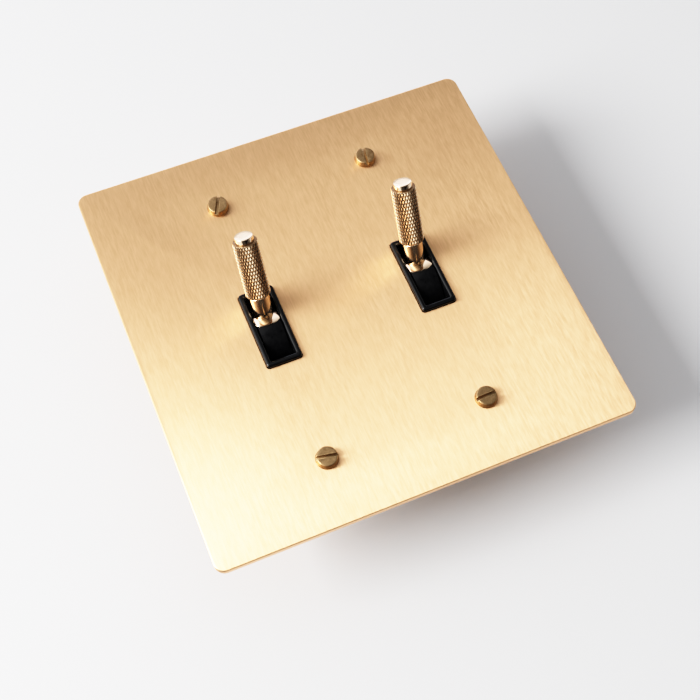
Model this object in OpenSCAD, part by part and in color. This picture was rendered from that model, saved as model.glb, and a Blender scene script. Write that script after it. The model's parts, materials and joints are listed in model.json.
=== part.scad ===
// Two-gang toggle wall switch with brass levers on a square brass plate.
//
// Frame: the switch stands as it does on the wall. +Z is up, +X is to the
// right, and the front of the plate faces -Y. The origin is the centre of
// the face plate's back face, so y = 0 is the wall plane and the mechanism
// reaches towards +Y. Millimetres. Both levers are drawn thrown up.
// Threads and the knurling of the grips are drawn smooth.

/* [Face plate] */
// Width of the face plate
plate_w = 120; // [116:1:130]
// Height of the face plate
plate_h = 120; // [116:1:130]
// Thickness of the face plate
plate_t = 2; // [1.6:0.1:2.4]
// Radius of the plate's four corners
plate_corner_r = 3; // [1:0.5:6]
// Distance between the two switch centres
gang_pitch = 46; // [44:0.1:50]

/* [Plate screws] */
// Vertical distance between the upper and lower plate screws
screw_pitch = 83.34; // [82:0.1:85]
// Diameter of the cheese head at its foot
screw_head_d = 6.3; // [5.5:0.1:7.5]
// Height of the cheese head
screw_head_h = 1.85; // [1.2:0.05:2.4]
// Width of the driver slot
screw_slot_w = 1; // [0.8:0.1:1.3]
// Outside diameter of the screw thread
screw_thread_d = 3.5; // [3.4:0.1:3.8]
// Length of the screw behind the wall plane
screw_len = 24; // [16:1:30]

/* [Bezel] */
// Width of the black bezel that fills the plate's opening
bezel_w = 10.3; // [9.8:0.1:10.4]
// Height of the black bezel
bezel_h = 23.8; // [22.8:0.1:23.8]
// Width of the bezel's rim
bezel_rim = 1.5; // [1.2:0.1:1.6]
// How far the rim stands in front of the plate
bezel_proud = 1.2; // [0.6:0.1:1.6]

/* [Toggle] */
// Distance from the wall plane back to the toggle's pivot
pivot_y = 7.2; // [6.8:0.1:7.4]
// Tilt of the lever from the plate's normal, up or down
tilt = 30; // [24:1:30]
// Radius of the drum that closes the bezel
drum_r = 10.4; // [10:0.1:10.4]
// Width of the drum
drum_w = 6.5; // [6:0.1:6.6]

/* [Lever] */
// Distance from the pivot to the top of the cap
lever_len = 35; // [34:0.5:40]
// Diameter of the polished stem
stem_d = 5.7; // [5:0.1:6]
// Outside diameter of the knurled grip
grip_d = 7; // [6.4:0.1:7.6]
// Distance from the pivot to the lower end of the grip
grip_start = 16.1; // [15.8:0.1:18]
// Height of the cap that stands above the grip
cap_h = 1.6; // [1.2:0.1:2.4]
// Radius of the polished washer under the stem
washer_r = 5.3; // [5:0.1:5.4]

/* [Switch body] */
// Width of the moulded body
body_w = 22; // [20:0.5:24]
// Height of the moulded body
body_h = 35.6; // [35.4:0.2:38]
// Distance from the wall plane to the back of the body
body_back = 27.5; // [27:0.5:32]
// Overall length of the steel mounting strap
strap_len = 104.8; // [100:0.2:108]
// Thickness of the steel mounting strap
strap_t = 1.3; // [1:0.1:1.3]

/* [Hidden] */
$fn = 64;

// clearances
close_fit = 0.02;
thread_fit = 0.03;
run_fit = 0.05;
frame_fit = 0.2;                      // added to a whole width or height
over = 1;                             // how far a cut runs past the face it opens

// plate screws; slot angles in degrees from horizontal, rows top and bottom, columns left and right
slot_angles = [[64, 80], [-10, 2]];
screw_neck_r = screw_thread_d/2 - 0.3;

// bezel and its openings
front_y = -plate_t;
open_w = bezel_w + frame_fit;         // openings in plate and strap
open_h = bezel_h + frame_fit;
bore_w = bezel_w - 2*bezel_rim;       // inside of the bezel
bore_h = bezel_h - 2*bezel_rim - 0.1;
rim_r = 0.6;                          // rounding of the rim's outer edge
flange_w = bezel_w + 2.5;
flange_h = bezel_h + 1.3;
frame_corner_r = 0.8;                 // corners of flange, recess and openings
recess_y = 2.5;                       // floor of the body's recess for the flange

// body
split_y = 13;                         // joint between front and back body
body_corner_r = 1.5;
cavity_x = 3.6;                       // half width of the cavity
cavity_z = 11.6;                      // half height of the cavity
body_screw_z = 14.7;
body_screw_r = 1.5;
body_screw_bore_r = 1.6;
counterbore_depth = 2.2;
ground_z = -28;
ground_r = 2;

// lever
washer_edge = 0.36;                   // thickness of the domed washer's rim
crown_r = 16;                         // radius of its dome
stem_r = stem_d/2;
// height of the washer's dome at a distance from its axis
function dome(radius) = washer_edge + sqrt(crown_r*crown_r - radius*radius)
    - sqrt(crown_r*crown_r - washer_r*washer_r);
washer_t = dome(stem_r);              // thickness where the stem stands
seat_z = 8.88;                        // flat seat on the drum, from the pivot
insert_z = 3;                         // floor of the drum's socket for the brass bush
insert_r = 2.6;                       // radius of that socket
tail_r = 1.55;                        // stem's tail in the bush
spindle_r = 1.75;                     // stem's spindle inside the grip
grip_end = lever_len - cap_h;
spindle_end = grip_end + 0.8;
cap_r = 2.6;
pin_r = 1.5;                          // toggle pin

// plunger and spring, in the lever's frame
plunger_r = 1.6;
tip_z = 8;                            // pivot to the centre of the plunger's round tip
plunger_floor_z = -tip_z + 0.2;       // bottom of the plunger's hollow
guide_top_z = -2.1;                   // top of the drum's bore for the plunger
wire_r = 0.2;
coil_r = 0.9;
spring_z0 = plunger_floor_z + close_fit;
spring_z1 = guide_top_z - close_fit;
turns = 7;
turn_steps = 14;
wire_sides = 6;

// contact carrier: it rocks against the toggle, by ratio times the toggle's turn
ratio = 0.4;
carrier_d = 14.3;                     // toggle pivot to the carrier's pivot
carrier_y = pivot_y + carrier_d;
carrier_pin_r = 1;
carrier_rest = ratio*tilt;            // the carrier's turn at rest
bridge_front = -2.6;                  // faces of the bridge strip, in the carrier's frame
bridge_back = -1.8;
// centre of the plunger's tip as [y, z] in the carrier's frame, for a toggle angle
function tip_path(angle) = [
    tip_z*cos((1 + ratio)*angle) - carrier_d*cos(ratio*angle),
    tip_z*sin((1 + ratio)*angle) - carrier_d*sin(ratio*angle)];
// direction in which the tip travels
function tip_along(angle) = [
    carrier_d*ratio*sin(ratio*angle) - tip_z*(1 + ratio)*sin((1 + ratio)*angle),
    tip_z*(1 + ratio)*cos((1 + ratio)*angle) - carrier_d*ratio*cos(ratio*angle)];
// point at a distance from the path, square to it
function tip_wall(angle, distance) =
    let (along = tip_along(angle))
    tip_path(angle) + distance*[along[1], -along[0]]/norm(along);

// contacts and terminals
contact_z = 7;                        // moving contacts, from the carrier's centre
dome_r = 1.7;
dome_y = -2.6;                        // centre of a dome, in the carrier's frame
// where a dome's crown stands when it closes
close_y = carrier_y + dome_y*cos(carrier_rest) + contact_z*sin(carrier_rest) + dome_r + 0.03;
close_z = -dome_y*sin(carrier_rest) + contact_z*cos(carrier_rest);
strip_y = close_y + 0.6;              // front of the upper and lower terminal strips
strip_t = 0.8;
strip_w = 4.2;
notch_w = strip_w + frame_fit;        // the body's notch for a strip
floor_y = strip_y + strip_t + close_fit;
common_y = 23.75;                     // front of the common terminal's floor
common_floor_y = common_y + strip_t + close_fit;
lug_t = 0.8;
common_lug_x = 3;                     // middles of the lugs either side of the carrier
bridge_lug_x = 2;
terminal_y = 17.3;                    // terminal screws, from the wall plane
terminal_screw_r = 2;
tab_x = body_w/2 + run_fit;           // inner face of a screw tab
tab_t = 1;

brass = [0.86, 0.70, 0.42];
polished = [0.93, 0.77, 0.50];
antique = [0.55, 0.43, 0.25];
black = [0.05, 0.05, 0.055];
charcoal = [0.09, 0.09, 0.10];
dark_grey = [0.16, 0.155, 0.15];
steel = [0.72, 0.73, 0.74];
silver = [0.85, 0.85, 0.86];
red_brown = [0.55, 0.16, 0.12];
ivory = [0.88, 0.87, 0.82];
buff = [0.78, 0.74, 0.66];
green = [0.10, 0.42, 0.22];

// ---- helpers ----

// plane rectangle with rounded corners
module rounded_rect(width, height, radius) {
    square([width - 2*radius, height], center = true);
    square([width, height - 2*radius], center = true);
    for (i = [-1, 1], j = [-1, 1])
        translate([i*(width/2 - radius), j*(height/2 - radius)]) circle(r = radius, $fn = 48);
}
// plane shape in X and Z, given thickness from y0 to y1
module slab(y0, y1)
    translate([0, y1, 0]) rotate([90, 0, 0]) linear_extrude(y1 - y0) children();
// plane shape in Y and Z, given thickness from x0 to x1
module rib(x0, x1)
    translate([x0, 0, 0]) rotate([90, 0, 90]) linear_extrude(x1 - x0) children();
// round bar along Y at (x, z)
module bar_y(radius, y0, y1, x = 0, z = 0)
    translate([x, y1, z]) rotate([90, 0, 0]) cylinder(r = radius, h = y1 - y0);
// round bar along X at (y, z)
module bar_x(radius, x0, x1, y = 0, z = 0)
    translate([x0, y, z]) rotate([0, 90, 0]) cylinder(r = radius, h = x1 - x0);
// profile of [radius, distance] turned about Y, growing towards +Y
module turned_y(profile) rotate([-90, 0, 0]) rotate_extrude() polygon(profile);
// one switch's place on the plate, side -1 left, 1 right
module gang(side) translate([side*gang_pitch/2, 0, 0]) children();
// the lever's frame: +Z runs out along the lever from the pivot
module lever_frame() translate([0, pivot_y, 0]) rotate([90 - tilt, 0, 0]) children();
// the contact carrier's frame at rest: -Y faces the toggle
module carrier_frame() translate([0, carrier_y, 0]) rotate([carrier_rest, 0, 0]) children();
// wedge of the plane within half_angle of the plane's second axis
module wedge(half_angle) {
    reach = 30;
    polygon(concat([[0, 0]],
        [for (a = [-half_angle : half_angle/6 : half_angle + 0.01]) [reach*sin(a), reach*cos(a)]]));
}
// plane outline of an eye at the origin with its arm from y0 to y1
module eye(y0, y1) {
    translate([y0, -2]) square([y1 - y0, 4]);
    circle(r = 2);
}

// ---- shared pieces ----

module face_plate() {
    color(brass)
    slab(-plate_t, 0) difference() {
        rounded_rect(plate_w, plate_h, plate_corner_r);
        for (side = [-1, 1]) translate([side*gang_pitch/2, 0]) {
            rounded_rect(open_w, open_h, frame_corner_r);
            for (end = [-1, 1]) translate([0, end*screw_pitch/2]) circle(r = 2.2);
        }
    }
}

// slotted cheese-head screw with a plain neck where it passes plate and strap
module plate_screw(slot_angle) {
    head_r = screw_head_d/2;
    thread_r = screw_thread_d/2;
    wall = screw_head_h + plate_t;    // wall plane, from the top of the head
    difference() {
        translate([0, front_y - screw_head_h, 0]) turned_y([
            [0, 0], [head_r - 0.35, 0], [head_r - 0.08, 0.4], [head_r, screw_head_h],
            [screw_neck_r, screw_head_h], [screw_neck_r, wall + 2.2], [thread_r, wall + 2.4],
            [thread_r, wall + screw_len - 0.6], [thread_r - 0.5, wall + screw_len],
            [0, wall + screw_len]]);
        translate([0, front_y - screw_head_h, 0]) rotate([0, -slot_angle, 0])
            translate([-head_r - over, -over, -screw_slot_w/2])
                cube([2*(head_r + over), over + screw_head_h*0.55, screw_slot_w]);
    }
}
module plate_screws() {
    color(antique)
    for (column = [0, 1], row = [0, 1])
        translate([(column - 0.5)*gang_pitch, 0, (0.5 - row)*screw_pitch])
            plate_screw(slot_angles[row][column]);
}

// fibre washers that keep the screws captive behind the straps
module screw_retainers() {
    front = strap_t + close_fit;
    color(red_brown)
    for (side = [-1, 1], end = [-1, 1])
        translate([side*gang_pitch/2, 0, end*screw_pitch/2])
            slab(front, front + 0.8) difference() {
                circle(r = 4.4);
                circle(r = screw_neck_r + thread_fit);
            }
}

// ---- one switch ----

// steel strap with oblong fixing slots and plaster ears
module strap() {
    ear_x = 12.6;
    ear_z = strap_len/2 - 8;
    slot_r = 2.1;
    slot_x = 1.2;                     // centres of the slot's round ends
    color(steel)
    slab(0, strap_t) difference() {
        union() {
            rounded_rect(17, strap_len, 2.5);
            for (end = [-1, 1]) translate([0, end*ear_z]) {
                square([25, 5], center = true);
                for (side = [-1, 1]) translate([side*ear_x, 0]) circle(r = 6);
            }
        }
        rounded_rect(open_w, open_h, frame_corner_r);
        for (end = [-1, 1]) {
            translate([0, end*screw_pitch/2]) {
                square([2*slot_x, 2*slot_r], center = true);
                for (side = [-1, 1]) translate([side*slot_x, 0]) circle(r = slot_r);
            }
            translate([0, end*body_screw_z]) circle(r = body_screw_r + close_fit);
            for (side = [-1, 1]) {
                translate([side*ear_x, end*ear_z]) circle(r = 2);
                // slit between ear and strap
                translate([side*8.4, end*ear_z]) square([0.5, 3], center = true);
            }
        }
        translate([0, ground_z]) circle(r = ground_r + thread_fit);
    }
}

// black frame in the plate's opening: rounded rim, straight bore, flange behind the strap
module bezel() {
    rim_y = front_y - bezel_proud;
    round_y = rim_y + rim_r;          // where the edge's rounding ends
    edge_x = bezel_w/2 - rim_r;       // axes of the rounding
    edge_z = bezel_h/2 - rim_r;
    back_y = recess_y - run_fit;
    color(black)
    difference() {
        union() {
            slab(round_y, back_y) rounded_rect(bezel_w, bezel_h, rim_r);
            slab(rim_y, round_y) square([2*edge_x, 2*edge_z], center = true);
            for (side = [-1, 1]) {
                translate([side*edge_x, round_y, -edge_z])
                    cylinder(r = rim_r, h = 2*edge_z, $fn = 32);
                bar_x(rim_r, -edge_x, edge_x, round_y, side*edge_z, $fn = 32);
                for (end = [-1, 1])
                    translate([side*edge_x, round_y, end*edge_z]) sphere(r = rim_r, $fn = 32);
            }
            slab(strap_t + run_fit, back_y) rounded_rect(flange_w, flange_h, frame_corner_r);
        }
        slab(rim_y - over, recess_y + over) square([bore_w, bore_h], center = true);
    }
}

// front half of the moulded body: bezel recess, toggle cavity, pin bore, screw bores
module body_front() {
    color(charcoal)
    difference() {
        slab(strap_t, split_y) rounded_rect(body_w, body_h, body_corner_r);
        slab(strap_t - over, recess_y)
            rounded_rect(flange_w + frame_fit, flange_h + frame_fit, frame_corner_r);
        slab(recess_y - 0.5, split_y + over) square([2*cavity_x, 2*cavity_z], center = true);
        for (end = [-1, 1]) bar_y(body_screw_bore_r, 0, split_y + over, 0, end*body_screw_z);
        bar_x(pin_r + close_fit, -body_w, body_w, pivot_y, 0);
    }
}

// back half of the moulded body: contact cavity, terminal notches, screw counterbores
module body_back() {
    cut_y = split_y - over;
    notch_x = cavity_x - 0.1;         // notches start just inside the cavity
    color(dark_grey)
    difference() {
        slab(split_y, body_back) rounded_rect(body_w, body_h, body_corner_r);
        slab(cut_y, floor_y) square([2*cavity_x, 2*cavity_z], center = true);
        slab(cut_y, common_floor_y) square([2*cavity_x, 4.6], center = true);
        for (end = [-1, 1]) {
            slab(cut_y, floor_y)
                translate([notch_x, end*close_z - notch_w/2]) square([body_w, notch_w]);
            bar_y(body_screw_bore_r, cut_y, body_back + over, 0, end*body_screw_z);
            bar_y(2.5, body_back - counterbore_depth, body_back + over, 0, end*body_screw_z);
        }
        slab(cut_y, common_floor_y)
            translate([-body_w - notch_x, -notch_w/2]) square([body_w, notch_w]);
    }
}

// two long screws that hold both halves to the strap's tapped holes
module body_screws() {
    slot_w = 0.8;
    color(steel)
    for (end = [-1, 1]) translate([0, 0, end*body_screw_z]) difference() {
        union() {
            bar_y(body_screw_r, 0.1, body_back - 2);
            translate([0, body_back - counterbore_depth + close_fit, 0])
                turned_y([[0, 0], [2.4, 0], [2.4, 1.3], [2.0, 1.8], [0, 1.8]]);
        }
        translate([-3, body_back - 1.2, -slot_w/2]) cube([6, 2, slot_w]);
    }
}

module toggle_pin() color(steel) bar_x(pin_r, -body_w/2 + 0.2, body_w/2 - 0.2, pivot_y, 0);

// drum that closes the bezel at every lever angle: solid middle, two skirts,
// flat seat for the washer and a boss that guides the plunger
module toggle_drum() {
    skirt_t = 1.6;
    boss_w = 5.2;
    boss_depth = 5;
    bore_start = -8;
    color(black)
    lever_frame() difference() {
        rib(-drum_w/2, drum_w/2) difference() {
            union() {
                intersection() {
                    circle(r = drum_r, $fn = 128);
                    wedge(52);
                }
                intersection() {
                    difference() {
                        circle(r = drum_r, $fn = 128);
                        circle(r = drum_r - skirt_t, $fn = 128);
                    }
                    wedge(115);
                }
                circle(r = 4.6);
                translate([-boss_w/2, -boss_depth]) square([boss_w, boss_depth]);
            }
            translate([-20, seat_z]) square([40, 10]);
        }
        bar_x(pin_r + run_fit, -10, 10);
        translate([0, 0, insert_z]) cylinder(r = insert_r, h = 10);
        translate([0, 0, bore_start])
            cylinder(r = plunger_r + run_fit, h = guide_top_z - bore_start);
    }
}

// threaded brass bush moulded into the drum
module stem_insert() {
    color(brass)
    lever_frame() translate([0, 0, insert_z + close_fit]) difference() {
        cylinder(r = insert_r - close_fit, h = seat_z - insert_z - 2*close_fit);
        translate([0, 0, -over]) cylinder(r = tail_r + thread_fit, h = 10);
    }
}

// polished domed disc with two flats, between the drum and the stem
module lever_washer() {
    dome_steps = 5;
    color(polished)
    lever_frame() difference() {
        intersection() {
            translate([0, 0, seat_z]) rotate_extrude($fn = 96) polygon(concat(
                [[0, 0], [washer_r, 0]],
                [for (i = [0 : dome_steps])
                    let (radius = washer_r - (washer_r - stem_r)*i/dome_steps)
                    [radius, dome(radius)]],
                [[0, washer_t]]));
            translate([-drum_w/2 - 0.1, -10, 0]) cube([drum_w + 0.2, 20, 20]);
        }
        cylinder(r = tail_r + run_fit, h = 20);
    }
}

// stem: threaded tail, polished neck standing on the washer, and the spindle inside the grip
module lever_stem() {
    tail_z = 3.4;
    neck_z = seat_z + washer_t + close_fit;
    chamfer = 0.25;
    color(polished)
    lever_frame() rotate_extrude() polygon([
        [0, tail_z], [tail_r, tail_z], [tail_r, neck_z],
        [stem_r - chamfer, neck_z], [stem_r, neck_z + chamfer],
        [stem_r, grip_start], [spindle_r, grip_start],
        [spindle_r, spindle_end], [0, spindle_end]]);
}

// grip sleeve, chamfered at both ends
module lever_grip() {
    outer_r = grip_d/2;
    bore_r = spindle_r + run_fit;
    z0 = grip_start + close_fit;
    z1 = grip_end - close_fit;
    color(brass)
    lever_frame() rotate_extrude() polygon([
        [bore_r, z0], [outer_r - 0.55, z0], [outer_r, grip_start + 0.55],
        [outer_r, grip_end - 0.5], [outer_r - 0.5, z1], [bore_r, z1]]);
}

// polished cap screwed on the spindle's end
module lever_cap() {
    socket_r = spindle_r + thread_fit;
    socket_z = spindle_end + run_fit;
    chamfer = 0.2;
    color(polished)
    lever_frame() rotate_extrude() polygon([
        [0, socket_z], [socket_r, socket_z], [socket_r, grip_end], [cap_r, grip_end],
        [cap_r, lever_len - chamfer], [cap_r - chamfer, lever_len], [0, lever_len]]);
}

// round-nosed plunger, hollow for its spring
module plunger() {
    color(ivory)
    lever_frame() difference() {
        union() {
            translate([0, 0, -tip_z]) cylinder(r = plunger_r, h = tip_z - 4.4);
            translate([0, 0, -tip_z]) sphere(r = plunger_r);
        }
        translate([0, 0, plunger_floor_z]) cylinder(r = 1.2, h = 10);
    }
}

// compression spring: a six-sided wire swept along a helix;
// i counts steps along the helix, j points round the wire
function coil_point(i, j) =
    let (around = 360*i/turn_steps,
         climb = (spring_z1 - spring_z0 - 2*wire_r)*i/(turns*turn_steps),
         section = 360*j/wire_sides,
         radius = coil_r + wire_r*cos(section))
    [radius*cos(around), radius*sin(around), spring_z0 + wire_r + climb + wire_r*sin(section)];
module coil_spring() {
    steps = turns*turn_steps;
    last = wire_sides - 1;
    polyhedron(
        points = [for (i = [0 : steps], j = [0 : last]) coil_point(i, j)],
        faces = concat(
            [for (i = [0 : steps - 1], j = [0 : last])
                let (here = i*wire_sides, ahead = here + wire_sides, beside = (j + 1) % wire_sides)
                [here + j, ahead + j, ahead + beside, here + beside]],
            [[for (j = [0 : last]) j]],
            [[for (j = [last : -1 : 0]) steps*wire_sides + j]]));
}
module plunger_spring() color(steel) lever_frame() coil_spring();

// insulating carrier: a trough the plunger's tip rolls in, with a pocket at each end
// of its travel, and a neck with a barrel on the pin
module contact_carrier() {
    back = bridge_front - close_fit;
    front = -8.3;
    foot_front = -3.3;                // the wider foot against the bridge
    half_h = 5.1;
    foot_half_h = 7.4;
    cut = 20;                         // the trough's cuts start this far in front
    mouth_z = tip_wall(tilt, plunger_r)[1];
    tip_end = tip_path(tilt);
    pocket_gap = 0.12;
    color(buff)
    carrier_frame() {
        difference() {
            union() {
                rib(-2.5, 2.5) difference() {
                    union() {
                        translate([front, -half_h]) square([back - front, 2*half_h]);
                        translate([foot_front, -foot_half_h])
                            square([back - foot_front, 2*foot_half_h]);
                    }
                    polygon(concat([[-cut, -mouth_z]],
                        [for (a = [-tilt : tilt/12 : tilt + 0.01]) tip_wall(a, plunger_r + 0.04)],
                        [[-cut, mouth_z]]));
                    for (end = [-1, 1]) {
                        translate(tip_path(end*tilt)) circle(r = plunger_r + pocket_gap);
                        translate([-cut, end*(tip_end[1] + pocket_gap) + (end - 1)/2*plunger_r])
                            square([cut + tip_end[0], plunger_r]);
                    }
                }
                rib(-1.5, 1.5) eye(-2.7, 0);
            }
            bar_x(carrier_pin_r + run_fit, -5, 5);
        }
    }
}

// brass bridge: strip with a window for the carrier's neck and two lugs on the pin
module contact_bridge() {
    color(brass)
    carrier_frame() difference() {
        union() {
            difference() {
                slab(bridge_front, bridge_back) rounded_rect(4.8, 17.2, 1.2);
                slab(-3, -1) square([3.2, 4.4], center = true);
            }
            for (side = [-1, 1])
                rib(side*bridge_lug_x - lug_t/2, side*bridge_lug_x + lug_t/2) eye(-2.2, 0);
        }
        bar_x(carrier_pin_r + run_fit, -5, 5);
    }
}

// two domed silver contacts on the bridge's back
module moving_contacts() {
    flat_y = bridge_back + 0.01;
    color(silver)
    carrier_frame() for (end = [-1, 1]) translate([0, 0, end*contact_z]) difference() {
        translate([0, dome_y, 0]) sphere(r = dome_r);
        translate([-3, flat_y - 8, -3]) cube([6, 8, 6]);
    }
}

module carrier_pin() color(steel) bar_x(carrier_pin_r, -3.5, 3.5, carrier_y, 0);

// screw tab outside the body from x0, with an arm back to the strip whose front is at y_in
module side_tab(x0, z, y_in) {
    tab_w = 7;
    tab_h = 7.6;
    arm_y = 20;
    rib(x0, x0 + tab_t) difference() {
        union() {
            translate([terminal_y - tab_w/2, z - tab_h/2]) square([tab_w, tab_h]);
            translate([arm_y, z - strip_w/2]) square([y_in + strip_t - arm_y, strip_w]);
        }
        translate([terminal_y, z]) circle(r = terminal_screw_r + thread_fit);
    }
}
// terminal on the right: end 1 upper, -1 lower
module throw_terminal(end) {
    inner_x = 2.2;                    // the strip ends this far left of the middle
    color(brass) {
        side_tab(tab_x, end*close_z, strip_y);
        slab(strip_y, strip_y + strip_t)
            translate([-inner_x, end*close_z - strip_w/2])
                square([tab_x + inner_x + tab_t/2, strip_w]);
    }
}
// terminal on the left, with two lugs that hold the carrier's pin
module common_terminal() {
    outer_x = tab_x + tab_t/2;
    color(brass) {
        side_tab(-tab_x - tab_t, 0, common_y);
        slab(common_y, common_y + strip_t)
            translate([-outer_x, -strip_w/2])
                square([outer_x + common_lug_x + lug_t/2, strip_w]);
        for (side = [-1, 1])
            rib(side*common_lug_x - lug_t/2, side*common_lug_x + lug_t/2)
                translate([carrier_y, 0]) difference() {
                    eye(0, common_y + strip_t - carrier_y);
                    circle(r = carrier_pin_r + close_fit);
                }
    }
}

module fixed_contacts() {
    color(silver)
    for (end = [-1, 1]) bar_y(1.7, close_y, strip_y, 0, end*close_z);
}

// binding-head screw in a tab, side -1 left, 1 right
module terminal_screw(side, z) {
    slot_w = 1;
    translate([side*(tab_x + tab_t + close_fit), terminal_y, z])
        rotate([0, side*90, 0]) difference() {
            // [radius, distance out from the foot of the head]
            rotate_extrude() polygon([
                [0, -5.5], [1.6, -5.5], [terminal_screw_r, -5.1], [terminal_screw_r, 0],
                [3.5, 0], [3.5, 0.9], [3.1, 1.5], [0, 1.7]]);
            translate([-5, -slot_w/2, 0.7]) cube([10, slot_w, 3]);
        }
}
module terminal_screws() {
    color(polished) {
        for (end = [-1, 1]) terminal_screw(1, end*close_z);
        terminal_screw(-1, 0);
    }
}

// green earthing screw in the strap, its hexagonal head behind
module ground_screw() {
    head_h = 2.2;
    slot_w = 1;
    color(green)
    translate([0, 0, ground_z]) difference() {
        union() {
            bar_y(ground_r, 0.1, strap_t + 0.1);
            translate([0, strap_t + head_h, 0]) rotate([90, 0, 0])
                cylinder(r = 3.6, h = head_h - close_fit, $fn = 6);
        }
        translate([-5, strap_t + 1.2, -slot_w/2]) cube([10, 3, slot_w]);
    }
}

// ---- named nodes ----

module left_strap() gang(-1) strap();
module left_bezel() gang(-1) bezel();
module left_body_front() gang(-1) body_front();
module left_body_back() gang(-1) body_back();
module left_body_screws() gang(-1) body_screws();
module left_toggle_pin() gang(-1) toggle_pin();
module left_toggle_drum() gang(-1) toggle_drum();
module left_stem_insert() gang(-1) stem_insert();
module left_lever_washer() gang(-1) lever_washer();
module left_lever_stem() gang(-1) lever_stem();
module left_lever_grip() gang(-1) lever_grip();
module left_lever_cap() gang(-1) lever_cap();
module left_plunger() gang(-1) plunger();
module left_plunger_spring() gang(-1) plunger_spring();
module left_contact_carrier() gang(-1) contact_carrier();
module left_contact_bridge() gang(-1) contact_bridge();
module left_moving_contacts() gang(-1) moving_contacts();
module left_carrier_pin() gang(-1) carrier_pin();
module left_common_terminal() gang(-1) common_terminal();
module left_upper_terminal() gang(-1) throw_terminal(1);
module left_lower_terminal() gang(-1) throw_terminal(-1);
module left_fixed_contacts() gang(-1) fixed_contacts();
module left_terminal_screws() gang(-1) terminal_screws();
module left_ground_screw() gang(-1) ground_screw();

module right_strap() gang(1) strap();
module right_bezel() gang(1) bezel();
module right_body_front() gang(1) body_front();
module right_body_back() gang(1) body_back();
module right_body_screws() gang(1) body_screws();
module right_toggle_pin() gang(1) toggle_pin();
module right_toggle_drum() gang(1) toggle_drum();
module right_stem_insert() gang(1) stem_insert();
module right_lever_washer() gang(1) lever_washer();
module right_lever_stem() gang(1) lever_stem();
module right_lever_grip() gang(1) lever_grip();
module right_lever_cap() gang(1) lever_cap();
module right_plunger() gang(1) plunger();
module right_plunger_spring() gang(1) plunger_spring();
module right_contact_carrier() gang(1) contact_carrier();
module right_contact_bridge() gang(1) contact_bridge();
module right_moving_contacts() gang(1) moving_contacts();
module right_carrier_pin() gang(1) carrier_pin();
module right_common_terminal() gang(1) common_terminal();
module right_upper_terminal() gang(1) throw_terminal(1);
module right_lower_terminal() gang(1) throw_terminal(-1);
module right_fixed_contacts() gang(1) fixed_contacts();
module right_terminal_screws() gang(1) terminal_screws();
module right_ground_screw() gang(1) ground_screw();

face_plate();
plate_screws();
screw_retainers();
left_strap();
left_bezel();
left_body_front();
left_body_back();
left_body_screws();
left_toggle_pin();
left_toggle_drum();
left_stem_insert();
left_lever_washer();
left_lever_stem();
left_lever_grip();
left_lever_cap();
left_plunger();
left_plunger_spring();
left_contact_carrier();
left_contact_bridge();
left_moving_contacts();
left_carrier_pin();
left_common_terminal();
left_upper_terminal();
left_lower_terminal();
left_fixed_contacts();
left_terminal_screws();
left_ground_screw();
right_strap();
right_bezel();
right_body_front();
right_body_back();
right_body_screws();
right_toggle_pin();
right_toggle_drum();
right_stem_insert();
right_lever_washer();
right_lever_stem();
right_lever_grip();
right_lever_cap();
right_plunger();
right_plunger_spring();
right_contact_carrier();
right_contact_bridge();
right_moving_contacts();
right_carrier_pin();
right_common_terminal();
right_upper_terminal();
right_lower_terminal();
right_fixed_contacts();
right_terminal_screws();
right_ground_screw();
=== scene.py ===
# A wall switch with two toggle levers on a square brushed face plate.
# X runs along the plate and Z up. The plate's back lies at Y = 0, its front faces -Y, and the
# switch body reaches into the wall towards +Y. Piece sizes are in millimetres; the stage,
# lights, camera and shader distances are in metres.
import bpy, bmesh, json, math, random
from mathutils import Vector, Matrix


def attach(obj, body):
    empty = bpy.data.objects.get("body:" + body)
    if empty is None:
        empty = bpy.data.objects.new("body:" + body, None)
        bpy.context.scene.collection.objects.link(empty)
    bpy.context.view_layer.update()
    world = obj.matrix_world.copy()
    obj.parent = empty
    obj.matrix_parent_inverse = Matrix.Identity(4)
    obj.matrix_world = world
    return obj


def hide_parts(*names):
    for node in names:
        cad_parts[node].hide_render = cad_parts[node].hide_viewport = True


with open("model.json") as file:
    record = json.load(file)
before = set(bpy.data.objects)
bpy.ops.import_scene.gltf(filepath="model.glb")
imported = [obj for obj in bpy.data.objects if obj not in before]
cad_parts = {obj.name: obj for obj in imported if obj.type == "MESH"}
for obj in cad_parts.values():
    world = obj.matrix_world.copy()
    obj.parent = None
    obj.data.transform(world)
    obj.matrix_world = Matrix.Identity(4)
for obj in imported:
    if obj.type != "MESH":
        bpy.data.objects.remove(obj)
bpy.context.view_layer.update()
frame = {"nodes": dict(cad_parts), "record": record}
random.seed(7)

MM = 0.001
SIDES = ((-1, "left"), (1, "right"))
PITCH = 46.0            # between the two levers, and between the screw columns
PLATE_HALF = 60.0       # half the plate's width and height
PLATE_T = 2.0
SCREW_Z = 83.34/2       # screw rows above and below the middle
SCREW_HEAD_H = 1.85
PIVOT_Y = 7.2           # lever axis behind the plate's back
LEVER_TILT = 30.0       # degrees above straight out


# ------------------------------------------------------------------ mesh tools

def link(obj):
    bpy.context.scene.collection.objects.link(obj)
    return obj

def recalc_normals(obj):
    bm = bmesh.new()
    bm.from_mesh(obj.data)
    bmesh.ops.recalc_face_normals(bm, faces=bm.faces)
    bm.to_mesh(obj.data)
    bm.free()

def solid(name, verts, faces):
    """Object from millimetre points, with its normals made consistent."""
    mesh = bpy.data.meshes.new(name)
    mesh.from_pydata([(x*MM, y*MM, z*MM) for x, y, z in verts], [], faces)
    mesh.validate()
    mesh.update()
    obj = link(bpy.data.objects.new(name, mesh))
    recalc_normals(obj)
    return obj

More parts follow.
